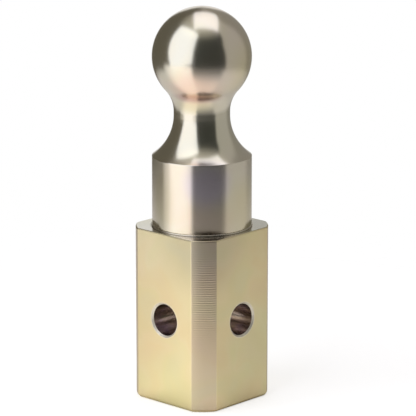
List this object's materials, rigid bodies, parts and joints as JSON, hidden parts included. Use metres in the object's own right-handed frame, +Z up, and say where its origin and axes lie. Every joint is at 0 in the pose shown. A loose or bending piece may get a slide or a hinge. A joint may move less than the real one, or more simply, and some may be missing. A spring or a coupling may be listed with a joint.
{
  "type": "gooseneck hitch ball",
  "caption": "Turn-over towing ball with a necked stud, a round collar and a square cross-drilled shank that a latch pin holds in its socket.",
  "frame": {"origin": "centre of the shank's underside, which is the face that it stands on", "axes": "+Z up the axis from the underside to the ball; the shank's four flats face +X, -X, +Y and -Y, and the lock pin and lift bar are driven in from the corner between -X and +Y"},
  "size_m": [0.065, 0.065, 0.236],
  "materials": {
    "plated_turned_steel": "fine turned steel with pale yellow zinc plating, satin to bright",
    "plated_milled_steel": "milled steel with yellow zinc plating, satin",
    "spring_steel": "oiled black spring steel",
    "bar_steel": "drawn round bar with yellow zinc plating"
  },
  "bodies": {
    "root": {"ball_stud": "plated_turned_steel", "seat_ring": "plated_turned_steel", "square_shank": "plated_milled_steel", "stud_lock_pin": "spring_steel", "lift_bar": "bar_steel"}
  },
  "joints": []
}
